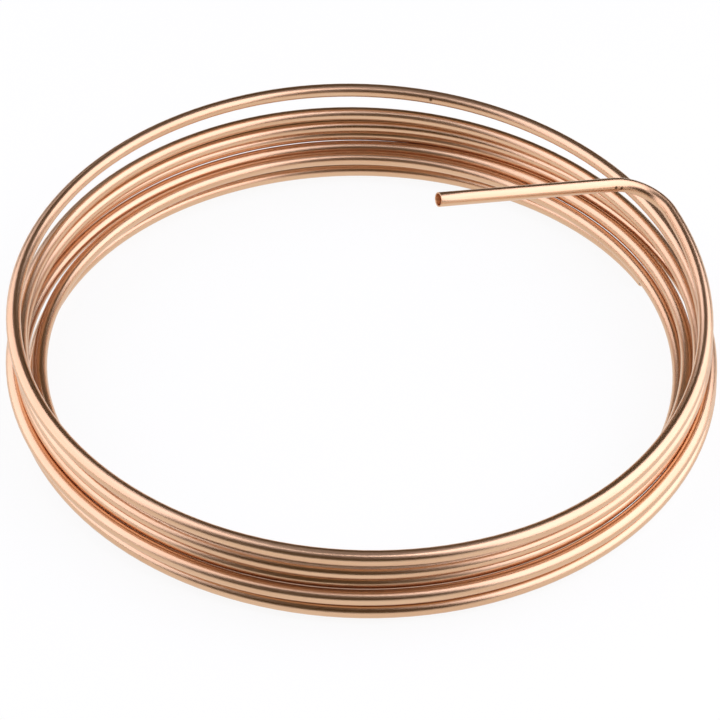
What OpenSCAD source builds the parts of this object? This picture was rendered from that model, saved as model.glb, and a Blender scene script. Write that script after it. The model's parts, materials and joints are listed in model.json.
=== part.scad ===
// Coil of soft copper tube, wound loosely by hand, lying flat on the floor.
// Millimetres, +Z up, the floor at z = 0 and the middle of the coil on Z.

/* [Tube] */
// Outside diameter of the tube
tube_od = 8; // [6:0.5:9]
// Wall thickness of the tube
tube_wall = 0.8; // [0.6:0.1:1.2]

/* [Coil] */
// Mean diameter of the turns, from centre to centre of the tube
coil_d = 373; // [340:1:460]
// Direction of the line on which the half turns meet, measured from +X
seat_line = 112; // [90:1:135]
// Clear height under the raised top turn at the back
top_lift = 10; // [3:0.5:20]

/* [Free end] */
// Height gained by the last quarter turn
end_rise = 30; // [26:1:46]
// Radius of the bend where the free end leaves the coil
bend_r = 25; // [20:1:32]
// Roll of the bend, which points the free end upwards
bend_roll = 11.5; // [4:0.5:20]
// Length of the straight free end
end_len = 111; // [60:1:150]

/* [Hidden] */
tube_id = tube_od - 2 * tube_wall;
coil_r = coil_d / 2;
smooth = 64;

// Seats of the tube in the order it is wound, by turns at the back and at the front.
// Each is [out from the mean turn, height of the centre] in tube diameters.
seats = [
  [0.1, 0.5],
  [-1.2, 0.5],
  [-1.1, 2.35],
  [-1, 1.95],
  [0.05, 2.65],
  [1, 0.75],
  [0.65, 3.65],
  [1.1, 1.9],
  [0.1, 4.65],
  [0.1, 2.45],
  [-0.1, 5.95],
  [0.4, 3.5],
  [-0.25, 6.95 + top_lift / tube_od],
  [1.2, 4.2 + top_lift / tube_od]
];
// Radius of the first and of the last quarter turn, out from the mean turn, in tube diameters
first_out = -0.6;
last_out = -1.1;
// Middle of the whole outline, in tube diameters from the middle of the seats
outline_mid = [0.0625, -0.2425];

function seat_r(i) = coil_r + seats[i][0] * tube_od;
function seat_z(i) = seats[i][1] * tube_od;

// A roll with a six-decimal cosine, so that two arcs meet with no step between them
function neat(angle) = sign(angle) * acos(round(cos(angle) * 1e6) / 1e6);

module tube_section() {
  difference() {
    circle(d = tube_od, $fn = smooth);
    circle(d = tube_id, $fn = smooth);
  }
}

// Tube bent to an arc about the origin
module arc(r, sweep) {
  rotate_extrude(angle = sweep, $fn = 4 * smooth)
    translate([r, 0])
      tube_section();
}

// One bend of the tube: it starts at the origin along +Y, turns towards -X in a plane
// rolled about +Y, and carries what follows on its far end
module bend(r, sweep, roll) {
  rotate([0, roll, 0])
    translate([-r, 0, 0]) {
      arc(r, sweep);
      rotate([0, 0, sweep])
        translate([r, 0, 0])
          children();
    }
}

// Half turns from seat i to the last one; z is the height reached, lean that of the half turn before
module winding(i, z, lean) {
  reach = seat_r(i) + seat_r(i + 1);
  roll = neat(atan2(seat_z(i + 1) - z, reach) + lean);
  tilt = roll - lean;
  bend(reach / cos(tilt) / 2, 180, roll)
    if (i + 2 < len(seats)) {
      winding(i + 1, z + reach * tan(tilt), tilt);
    } else {
      free_end(tilt);
    }
}

// Last quarter turn, the bend out of the coil and the straight end
module free_end(lean) {
  r = coil_r + last_out * tube_od;
  bend(r, 90, neat(asin(end_rise / r) + lean))
    bend(bend_r, 90, neat(bend_roll))
      rotate([-90, 0, 0])
        linear_extrude(end_len)
          tube_section();
}

module first_quarter() {
  r = coil_r + first_out * tube_od;
  translate([-r, 0, 0])
    rotate([0, 0, -90])
      arc(r, 90);
}

module copper_tube() {
  color("#c98a5e")
    translate([-outline_mid[0] * tube_od, -outline_mid[1] * tube_od, 0])
      rotate([0, 0, seat_line])
        translate([seat_r(0), 0, seat_z(0)]) {
          first_quarter();
          winding(0, seat_z(0), 0);
        }
}

copper_tube();
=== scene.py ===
"""Coil of soft copper tube: its bright drawn finish, the floor it lies on and the light around it.

Everything is in metres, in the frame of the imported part: +Z up, the floor at z = 0, the middle of the
coil on Z, and the front of the coil towards -Y.
"""

import json
from math import acos, asin, atan2, copysign, cos, pi, radians, sin, tan

import bpy
from bpy.props import FloatProperty, FloatVectorProperty, IntProperty, PointerProperty
from mathutils import Matrix, Vector


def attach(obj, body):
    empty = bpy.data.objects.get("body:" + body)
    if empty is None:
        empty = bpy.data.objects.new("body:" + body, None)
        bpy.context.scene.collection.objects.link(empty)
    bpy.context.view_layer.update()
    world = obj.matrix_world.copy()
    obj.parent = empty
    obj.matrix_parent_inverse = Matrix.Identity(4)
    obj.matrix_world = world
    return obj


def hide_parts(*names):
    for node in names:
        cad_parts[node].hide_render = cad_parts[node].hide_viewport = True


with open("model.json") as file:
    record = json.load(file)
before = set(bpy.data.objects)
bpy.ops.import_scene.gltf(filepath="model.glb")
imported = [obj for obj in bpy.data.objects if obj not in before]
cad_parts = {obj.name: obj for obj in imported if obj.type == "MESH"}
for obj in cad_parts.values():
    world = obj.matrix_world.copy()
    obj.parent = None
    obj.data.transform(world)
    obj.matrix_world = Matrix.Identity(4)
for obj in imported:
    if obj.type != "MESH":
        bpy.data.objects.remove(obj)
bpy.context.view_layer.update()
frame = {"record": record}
FREE_END = next(m for m in frame["record"]["mounts"] if m["name"] == "free_end")

bl_info = {
    "name": "Copper tube coil",
    "version": (1, 0, 0),
    "blender": (4, 5, 0),
    "location": "3D View > Sidebar > Coil",
    "description": "Bends a soft copper tube into a loose coil and lights it on a pale floor",
    "category": "Object",
}

# Seats of the tube in the order it is wound, by turns at the back and at the front of the coil.
# Each is out from the mean turn, and height of the centre, in tube diameters. Seven of them lie up to
# 1.3 mm off the solid's seats, so that no floor shows between turns that lie close together.
SEATS = (
    (0.1, 0.5),
    (-1.1, 0.5),
    (-1.05, 2.4),
    (-0.85, 1.9),
    (0.05, 2.7),
    (1.0, 0.75),
    (0.6, 3.6),
    (1.05, 1.95),
    (0.1, 4.65),
    (0.1, 2.4),
    (-0.1, 5.95),
    (0.4, 3.5),
    (-0.25, 6.95),
    (1.2, 4.2),
)
# Radius of the first and of the last quarter turn, out from the mean turn.
FIRST_OUT = -0.6
LAST_OUT = -1.1
# Middle of the whole outline, from the middle of the seats.
OUTLINE_MID = (0.0625, -0.2425)

# Facets along the tight bend and along the straight end.
BEND_STEPS = 24
END_STEPS = 8

# Changes per metre of the drawn lines and of the dull streaks, twice across the tube and once along it.
DRAWN_LINES = (1100, 1100, 9)
DULL_STREAKS = (160, 160, 11)

# Small dents that handling has left, shown only by painted shade, a near-black colour with no change of
# shape: place along the tube from its free end, and turn around it.
DENTS = (
    (-0.1110, radians(141)),
    (-0.1152, radians(135)),
    (-1.1425, radians(117)),
)

# Soft lamps: place, point they face, width and length, and roll about their own axis.
LAMPS = {
    "left": ((-0.9, 0.12, 0.66), (0, 0, 0.02), (1.9, 1.75), radians(20)),
    "right": ((0.9, -0.14, 0.66), (0, 0, 0.02), (1.9, 1.75), radians(-20)),
    "ceiling": ((0, 0.1, 1.5), (0, 0.1, 0), (1.2, 1.2), 0.0),
    "strip": ((0, -0.49, 1.1), (0, 0, 0), (0.5, 0.06), 0.0),
}

FLOOR_SIZE = 12
SENSOR_WIDTH = 36
# Shift of the picture, in shares of its width.
PICTURE_SHIFT = (-0.0018, 0.0090)


class CoilTube(bpy.types.PropertyGroup):
    """Sizes of the tube and of the coil it is bent into"""

    diameter: FloatProperty(
        name="Tube diameter", description="Outside diameter of the tube",
        default=2 * FREE_END["dims"]["r_mm"] / 1000, subtype="DISTANCE", precision=4)
    wall: FloatProperty(
        name="Wall", description="Wall thickness of the tube",
        default=0.0008, subtype="DISTANCE", precision=4)
    coil_diameter: FloatProperty(
        name="Coil diameter", description="Mean diameter of the turns, from centre to centre of the tube",
        default=0.373, subtype="DISTANCE", precision=4)
    seat_line: FloatProperty(
        name="Seat line", description="Direction of the line on which the half turns meet",
        default=radians(112), subtype="ANGLE")
    top_lift: FloatProperty(
        name="Top lift", description="Clear height under the raised top turn at the back",
        default=0.010, subtype="DISTANCE", precision=4)
    end_rise: FloatProperty(
        name="End rise", description="Height gained by the last quarter turn",
        default=0.030, subtype="DISTANCE", precision=4)
    bend_radius: FloatProperty(
        name="Bend radius", description="Radius of the bend where the free end leaves the coil",
        default=0.025, subtype="DISTANCE", precision=4)
    bend_roll: FloatProperty(
        name="Bend roll", description="Roll of the bend, which points the free end upwards",
        default=radians(11.5), subtype="ANGLE")
    end_length: FloatProperty(
        name="Free end", description="Length of the straight free end",
        default=FREE_END["dims"]["length_mm"] / 1000, subtype="DISTANCE", precision=4)
    edge: FloatProperty(
        name="Edge", description="Rounding of the cut edges at both ends of the tube",
        default=0.00018, subtype="DISTANCE", precision=5)
    sides: IntProperty(
        name="Sides", description="Facets around the tube", default=36, min=12)
    steps: IntProperty(
        name="Steps", description="Facets along each half turn", default=72, min=24)


class CopperFinish(bpy.types.PropertyGroup):
    """Colours and gloss of the drawn copper"""

    bright: FloatVectorProperty(
        name="Bright copper", description="Colour of the clean metal",
        default=(0.735, 0.48, 0.305), size=3, subtype="COLOR", min=0, max=1)
    warm: FloatVectorProperty(
        name="Warm copper", description="Colour of the metal where it has begun to dull",
        default=(0.62, 0.35, 0.195), size=3, subtype="COLOR", min=0, max=1)
    # Painted shade of the small dents: a near-black colour laid into the dents, which have no shape of
    # their own.
    dent_shade: FloatVectorProperty(
        name="Dent", description="Colour of the painted_shade in the small dents that handling has left",
        default=(0.09, 0.045, 0.02), size=3, subtype="COLOR", min=0, max=1)
    dent_size: FloatProperty(
        name="Dent size", description="From the middle of a dent to its edge",
        default=0.0014, subtype="DISTANCE", precision=4)
    gloss_low: FloatProperty(
        name="Smoothest", description="Roughness of the smoothest streaks",
        default=0.23, subtype="FACTOR", min=0, max=1)
    gloss_high: FloatProperty(
        name="Roughest", description="Roughness of the dullest streaks",
        default=0.36, subtype="FACTOR", min=0, max=1)


class CoilStage(bpy.types.PropertyGroup):
    """Floor, lamps and camera"""

    floor: FloatVectorProperty(
        name="Floor", description="Colour of the pale floor",
        default=(0.94, 0.94, 0.935), size=3, subtype="COLOR", min=0, max=1)
    surround: FloatVectorProperty(
        name="Surround", description="Light of the dim room around the lamps",
        default=(0.074, 0.048, 0.018), size=3, subtype="COLOR", min=0, max=1)
    floor_white: FloatProperty(
        name="Floor white", description="Share of plain white in the floor that camera and metal see",
        default=0.9, subtype="FACTOR", min=0, max=1)
    left_lamp: FloatProperty(
        name="Left lamp", description="Power of the large soft lamp on the left",
        default=17.2, subtype="POWER")
    right_lamp: FloatProperty(
        name="Right lamp", description="Power of the large soft lamp on the right",
        default=21.4, subtype="POWER")
    lamp_tint: FloatVectorProperty(
        name="Lamp tint", description="Colour of the lamps, a little cool against the warm room",
        default=(1.0, 1.01, 1.2), size=3, subtype="COLOR", min=0, soft_max=1)
    ceiling_lamp: FloatProperty(
        name="Ceiling lamp", description="Power of the wide lamp above the coil",
        default=0.4, subtype="POWER")
    strip_lamp: FloatProperty(
        name="Strip lamp", description="Power of the narrow lamp above the front of the coil",
        default=0.4, subtype="POWER")
    lens: FloatProperty(
        name="Lens", description="Focal length of the camera, in millimetres on a 36 mm sensor",
        default=109.13, min=1)
    distance: FloatProperty(
        name="Distance", description="From the camera to the middle of the coil on the floor",
        default=1.23226, subtype="DISTANCE", precision=4)
    elevation: FloatProperty(
        name="Elevation", description="Height of the camera's view above the floor",
        default=radians(40.286), subtype="ANGLE")


def neat(angle):
    """The roll whose cosine has six decimals, as in the part's own bends."""
    return copysign(acos(round(cos(angle) * 1e6) / 1e6), angle)


def bend_plan(tube):
    """The place of the first ring, then every bend as (centre, axis, sweep), then the straight end."""
    od = tube.diameter
    coil_radius = tube.coil_diameter / 2
    out = [coil_radius + seat[0] * od for seat in SEATS]
    height = [seat[1] * od for seat in SEATS]
    height[-2] += tube.top_lift
    height[-1] += tube.top_lift

    seat = Matrix.Translation((-OUTLINE_MID[0] * od, -OUTLINE_MID[1] * od, 0))
    seat = seat @ Matrix.Rotation(tube.seat_line, 4, "Z") @ Matrix.Translation((out[0], 0, height[0]))

    radius = coil_radius + FIRST_OUT * od
    first = seat @ Matrix.Translation((-radius, 0, 0)) @ Matrix.Rotation(-pi / 2, 4, "Z")
    first = first @ Matrix.Translation((radius, 0, 0))
    bends = [(seat @ Vector((-radius, 0, 0)), seat.to_3x3() @ Vector((0, 0, 1)), pi / 2)]

    def bend(place, radius, sweep, roll):
        place = place @ Matrix.Rotation(roll, 4, "Y") @ Matrix.Translation((-radius, 0, 0))
        bends.append((place.translation.copy(), place.to_3x3() @ Vector((0, 0, 1)), sweep))
        return place @ Matrix.Rotation(sweep, 4, "Z") @ Matrix.Translation((radius, 0, 0))

    z = height[0]
    lean = 0.0
    for i in range(len(SEATS) - 1):
        reach = out[i] + out[i + 1]
        roll = neat(atan2(height[i + 1] - z, reach) + lean)
        lean = roll - lean
        seat = bend(seat, reach / cos(lean) / 2, pi, roll)
        z += reach * tan(lean)

    radius = coil_radius + LAST_OUT * od
    seat = bend(seat, radius, pi / 2, neat(asin(tube.end_rise / radius) + lean))
    seat = bend(seat, tube.bend_radius, pi / 2, neat(tube.bend_roll))
    straight = seat.to_3x3() @ Vector((0, tube.end_length, 0))
    return first, bends, straight


def start_mesh():
    """Leaves object mode with nothing selected, so that the next tool acts on the new piece alone."""
    if bpy.context.mode != "OBJECT":
        bpy.ops.object.mode_set(mode="OBJECT")
    bpy.ops.object.select_all(action="DESELECT")


def apply_modifier(piece, kind, **settings):
    """Adds one modifier to the piece and applies it."""
    modifier = piece.modifiers.new(kind.title(), kind)
    for name, value in settings.items():
        setattr(modifier, name, value)
    bpy.ops.object.modifier_apply(modifier=modifier.name)


def stock_place(tube, turn, along):
    """A point on the straight tube, by its turn around the tube and its place along it."""
    radius = tube.diameter / 2
    return radius * cos(turn), radius * sin(turn), along


def mark_stock(mesh, tube):
    """Keeps on each point where it was on the straight tube, measured back from the free end.

    The rings follow each other along the tube and each has its points in the same order, so a finish
    that runs along the tube can be laid out on the straight stock.
    """
    sides = tube.sides
    rings = [mesh.vertices[i:i + sides] for i in range(0, len(mesh.vertices), sides)]
    middles = [sum((v.co for v in ring), Vector()) / sides for ring in rings]
    spans = [0.0] + [(b - a).length for a, b in zip(middles, middles[1:])]
    stock = mesh.attributes.new("stock", "FLOAT_VECTOR", "POINT")
    along = -sum(spans)
    for ring, span in zip(rings, spans):
        along += span
        for j, vertex in enumerate(ring):
            stock.data[vertex.index].vector = stock_place(tube, 2 * pi * j / sides, along)


class NodeSheet:
    """A material's nodes, laid out from left to right."""

    def __init__(self, name):
        self.material = bpy.data.materials.new(name)
        self.material.use_nodes = True
        self.tree = self.material.node_tree
        self.shader = self.tree.nodes["Principled BSDF"]
        self.output = self.tree.nodes["Material Output"]
        self.column = -1600

    def add(self, kind, inputs=None, **settings):
        node = self.tree.nodes.new(kind)
        node.location = (self.column, 0)
        self.column += 180
        for name, value in settings.items():
            setattr(node, name, value)
        for name, value in (inputs or {}).items():
            if isinstance(value, bpy.types.NodeSocket):
                self.tree.links.new(value, node.inputs[name])
            else:
                node.inputs[name].default_value = value
        return node

    def link(self, source, target):
        self.tree.links.new(source, target)


def copper_material(finish, tube):
    """Bright drawn copper: fine lines along the tube, a little dulling, and painted shade in a few dents.
    """
    sheet = NodeSheet("drawn_copper")
    shader = sheet.shader
    stock = sheet.add("ShaderNodeAttribute", attribute_name="stock").outputs["Vector"]

    lines_at = sheet.add("ShaderNodeMapping", {"Vector": stock, "Scale": DRAWN_LINES})
    lines = sheet.add(
        "ShaderNodeTexNoise",
        {"Vector": lines_at.outputs["Vector"], "Scale": 1.0, "Detail": 3.0, "Roughness": 0.6})
    dull_at = sheet.add("ShaderNodeMapping", {"Vector": stock, "Scale": DULL_STREAKS})
    dull = sheet.add(
        "ShaderNodeTexNoise",
        {"Vector": dull_at.outputs["Vector"], "Scale": 1.0, "Detail": 4.0, "Roughness": 0.55})

    dulling = sheet.add(
        "ShaderNodeMapRange",
        {"Value": dull.outputs["Fac"], "From Min": 0.46, "From Max": 0.72, "To Min": 0.0, "To Max": 0.55})
    tone = sheet.add(
        "ShaderNodeMix",
        {"Factor": dulling.outputs["Result"], "A": (*finish.bright, 1), "B": (*finish.warm, 1)},
        data_type="RGBA")

    # Painted shade in the dents: near-black within a third of dent_size from their middles, fading out at
    # their edges.
    dents = None
    for along, turn in DENTS:
        place = stock_place(tube, turn, along)
        gap = sheet.add("ShaderNodeVectorMath", {0: stock, 1: place}, operation="DISTANCE")
        painted_dent_shade = sheet.add(
            "ShaderNodeMapRange",
            {"Value": gap.outputs["Value"], "From Min": finish.dent_size / 3, "From Max": finish.dent_size,
             "To Min": 1.0, "To Max": 0.0})
        painted_dent_shade = painted_dent_shade.outputs["Result"]
        if dents:
            painted_dent_shade = sheet.add("ShaderNodeMath", {0: dents, 1: painted_dent_shade}, operation="MAXIMUM").outputs["Value"]
        dents = painted_dent_shade
    tone = sheet.add(
        "ShaderNodeMix",
        {"Factor": dents, "A": tone.outputs["Result"], "B": (*finish.dent_shade, 1)}, data_type="RGBA")
    sheet.link(tone.outputs["Result"], shader.inputs["Base Color"])

    gloss = sheet.add(
        "ShaderNodeMapRange",
        {"Value": lines.outputs["Fac"], "From Min": 0.3, "From Max": 0.72,
         "To Min": finish.gloss_low, "To Max": finish.gloss_high})
    sheet.link(gloss.outputs["Result"], shader.inputs["Roughness"])

    grain = sheet.add(
        "ShaderNodeBump", {"Strength": 0.12, "Distance": 0.00005, "Height": lines.outputs["Fac"]})
    sheet.link(grain.outputs["Normal"], shader.inputs["Normal"])
    shader.inputs["Metallic"].default_value = 1.0
    return sheet.material


class COIL_OT_copper_tube(bpy.types.Operator):
    """Bend one length of copper tube into the coil with its raised top turn and its free end"""

    bl_idname = "coil.copper_tube"
    bl_label = "Copper tube"

    def execute(self, context):
        tube = context.scene.coil_tube
        first, bends, straight = bend_plan(tube)

        start_mesh()
        across = first.to_3x3() @ Matrix.Rotation(-pi / 2, 3, "X")
        bpy.ops.mesh.primitive_circle_add(
            vertices=tube.sides, radius=tube.diameter / 2, fill_type="NOTHING",
            location=first.translation, rotation=across.to_euler())
        piece = context.object
        piece.name = piece.data.name = "copper_tube_coil"
        bpy.ops.object.transform_apply(location=True, rotation=True, scale=True)

        bpy.ops.object.mode_set(mode="EDIT")
        bpy.ops.mesh.select_all(action="SELECT")
        steps = [round(tube.steps * sweep / pi) for _, _, sweep in bends[:-1]] + [BEND_STEPS]
        for (centre, axis, sweep), count in zip(bends, steps):
            bpy.ops.mesh.spin(steps=count, angle=-sweep, center=centre, axis=axis)
        for _ in range(END_STEPS):
            bpy.ops.mesh.extrude_region_move(TRANSFORM_OT_translate={"value": straight / END_STEPS})
        bpy.ops.mesh.select_all(action="SELECT")
        bpy.ops.mesh.normals_make_consistent(inside=False)
        bpy.ops.object.mode_set(mode="OBJECT")

        mark_stock(piece.data, tube)
        apply_modifier(piece, "SOLIDIFY", thickness=tube.wall, offset=-1.0, use_rim=True)
        apply_modifier(
            piece, "BEVEL", width=tube.edge, segments=2, limit_method="ANGLE", angle_limit=radians(60))
        bpy.ops.object.shade_smooth_by_angle(angle=radians(40))

        piece.data.materials.append(copper_material(context.scene.copper_finish, tube))
        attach(piece, "root")
        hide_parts("copper_tube")
        return {"FINISHED"}


def area_lamp(name, power, tint, place, aim, size, roll):
    """A rectangular soft lamp at a place, turned towards a point and rolled about its own axis."""
    bpy.ops.object.light_add(type="AREA", location=place)
    lamp = bpy.context.object
    lamp.name = lamp.data.name = name
    lamp.data.shape = "RECTANGLE"
    lamp.data.size, lamp.data.size_y = size
    lamp.data.energy = power
    lamp.data.color = tint
    towards = (Vector(aim) - Vector(place)).to_track_quat("-Z", "Y").to_matrix()
    lamp.rotation_euler = (towards @ Matrix.Rotation(roll, 3, "Z")).to_euler()
    lamp.visible_camera = False


class COIL_OT_stage(bpy.types.Operator):
    """Lay the pale floor, hang the lamps and set the camera"""

    bl_idname = "coil.stage"
    bl_label = "Stage"

    def execute(self, context):
        stage = context.scene.coil_stage
        start_mesh()
        bpy.ops.mesh.primitive_plane_add(size=FLOOR_SIZE)
        floor = context.object
        floor.name = floor.data.name = "floor"
        sheet = NodeSheet("pale_floor")
        sheet.shader.inputs["Base Color"].default_value = (*stage.floor, 1)
        sheet.shader.inputs["Roughness"].default_value = 1.0
        sheet.shader.inputs["Specular IOR Level"].default_value = 0.0
        ray = sheet.add("ShaderNodeLightPath")
        seen = ray.outputs["Is Camera Ray"]
        for kind in ("Is Glossy Ray", "Is Transmission Ray"):
            either = sheet.add("ShaderNodeMath", {0: seen, 1: ray.outputs[kind]}, operation="MAXIMUM")
            seen = either.outputs["Value"]
        share = sheet.add("ShaderNodeMath", {0: seen, 1: stage.floor_white}, operation="MULTIPLY")
        white = sheet.add("ShaderNodeEmission", {"Color": (1, 1, 1, 1), "Strength": 1.0})
        mixed = sheet.add(
            "ShaderNodeMixShader",
            {0: share.outputs["Value"], 1: sheet.shader.outputs["BSDF"], 2: white.outputs["Emission"]})
        sheet.link(mixed.outputs["Shader"], sheet.output.inputs["Surface"])
        floor.data.materials.append(sheet.material)

        world = bpy.data.worlds.new("dim_room")
        world.use_nodes = True
        world.node_tree.nodes["Background"].inputs["Color"].default_value = (*stage.surround, 1)
        context.scene.world = world

        for name, settings in LAMPS.items():
            area_lamp("lamp_" + name, getattr(stage, name + "_lamp"), stage.lamp_tint, *settings)

        bpy.ops.object.camera_add()
        camera = context.object
        camera.name = camera.data.name = "camera"
        middle = Vector((-OUTLINE_MID[0], -OUTLINE_MID[1], 0)) * context.scene.coil_tube.diameter
        back = Matrix.Rotation(pi / 2 - stage.elevation, 3, "X") @ Vector((0, 0, 1))
        camera.location = middle + back * stage.distance
        camera.rotation_euler = (pi / 2 - stage.elevation, 0, 0)
        camera.data.sensor_width = SENSOR_WIDTH
        camera.data.lens = stage.lens
        camera.data.shift_x, camera.data.shift_y = PICTURE_SHIFT
        context.scene.camera = camera
        context.scene.view_settings.view_transform = "Standard"
        return {"FINISHED"}


class COIL_PT_panel(bpy.types.Panel):
    """Sizes, finish and stage of the coil"""

    bl_idname = "COIL_PT_panel"
    bl_label = "Copper tube coil"
    bl_space_type = "VIEW_3D"
    bl_region_type = "UI"
    bl_category = "Coil"

    def draw(self, context):
        for group, operator in (
            ("coil_tube", None), ("copper_finish", "coil.copper_tube"), ("coil_stage", "coil.stage")):
            settings = getattr(context.scene, group)
            box = self.layout.box()
            for name in settings.__annotations__:
                box.prop(settings, name)
            if operator:
                box.operator(operator)


CLASSES = (CoilTube, CopperFinish, CoilStage, COIL_OT_copper_tube, COIL_OT_stage, COIL_PT_panel)


def register():
    for item in CLASSES:
        bpy.utils.register_class(item)
    bpy.types.Scene.coil_tube = PointerProperty(type=CoilTube)
    bpy.types.Scene.copper_finish = PointerProperty(type=CopperFinish)
    bpy.types.Scene.coil_stage = PointerProperty(type=CoilStage)


def unregister():
    del bpy.types.Scene.coil_stage
    del bpy.types.Scene.copper_finish
    del bpy.types.Scene.coil_tube
    for item in reversed(CLASSES):
        bpy.utils.unregister_class(item)


def main():
    register()
    bpy.ops.coil.copper_tube()
    bpy.ops.coil.stage()


if __name__ == "__main__":
    main()
